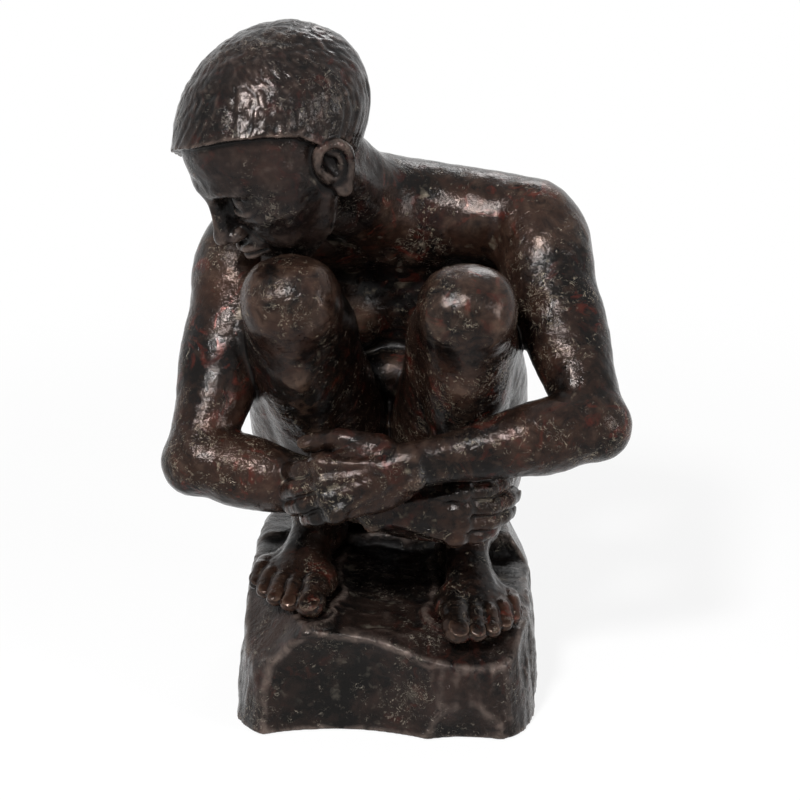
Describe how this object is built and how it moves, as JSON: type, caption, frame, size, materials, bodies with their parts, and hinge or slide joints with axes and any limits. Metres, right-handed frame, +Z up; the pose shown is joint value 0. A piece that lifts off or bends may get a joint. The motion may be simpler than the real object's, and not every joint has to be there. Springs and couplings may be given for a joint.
{
  "type": "modern woman statue",
  "caption": "Dark bronze statue of a crouching woman who sits on a rough rock with her arms round her shins.",
  "frame": {"origin": "on the underside of the felt, below the middle of the rock", "axes": "+Z up, the woman faces -Y, and +X points to her left"},
  "size_m": [0.3477, 0.2882, 0.5274],
  "materials": {
    "bronze": "dark brown-black patinated bronze, waxed",
    "raw_bronze": "filed bronze",
    "steel": "plain zinc-plated steel",
    "felt": "black felt"
  },
  "bodies": {
    "root": {"rock_base": "bronze", "torso": "bronze", "head": "bronze", "left_leg": "bronze", "left_foot": "bronze", "left_arm": "bronze", "left_hand": "bronze", "right_leg": "bronze", "right_foot": "bronze", "right_arm": "bronze", "right_hand": "bronze", "neck_pin": "raw_bronze", "left_shoulder_pin": "raw_bronze", "left_hip_pin": "raw_bronze", "left_wrist_pin": "raw_bronze", "left_ankle_pin": "raw_bronze", "right_shoulder_pin": "raw_bronze", "right_hip_pin": "raw_bronze", "right_wrist_pin": "raw_bronze", "right_ankle_pin": "raw_bronze", "lower_plug": "raw_bronze", "middle_plug": "raw_bronze", "upper_plug": "raw_bronze", "left_seat_stud": "steel", "left_seat_washer": "steel", "left_seat_nut": "steel", "right_seat_stud": "steel", "right_seat_washer": "steel", "right_seat_nut": "steel", "left_heel_stud": "steel", "left_heel_washer": "steel", "left_heel_nut": "steel", "right_heel_stud": "steel", "right_heel_washer": "steel", "right_heel_nut": "steel", "left_front_screw": "steel", "left_back_screw": "steel", "right_front_screw": "steel", "right_back_screw": "steel", "base_plate": "steel", "felt_pad": "felt"}
  },
  "joints": []
}
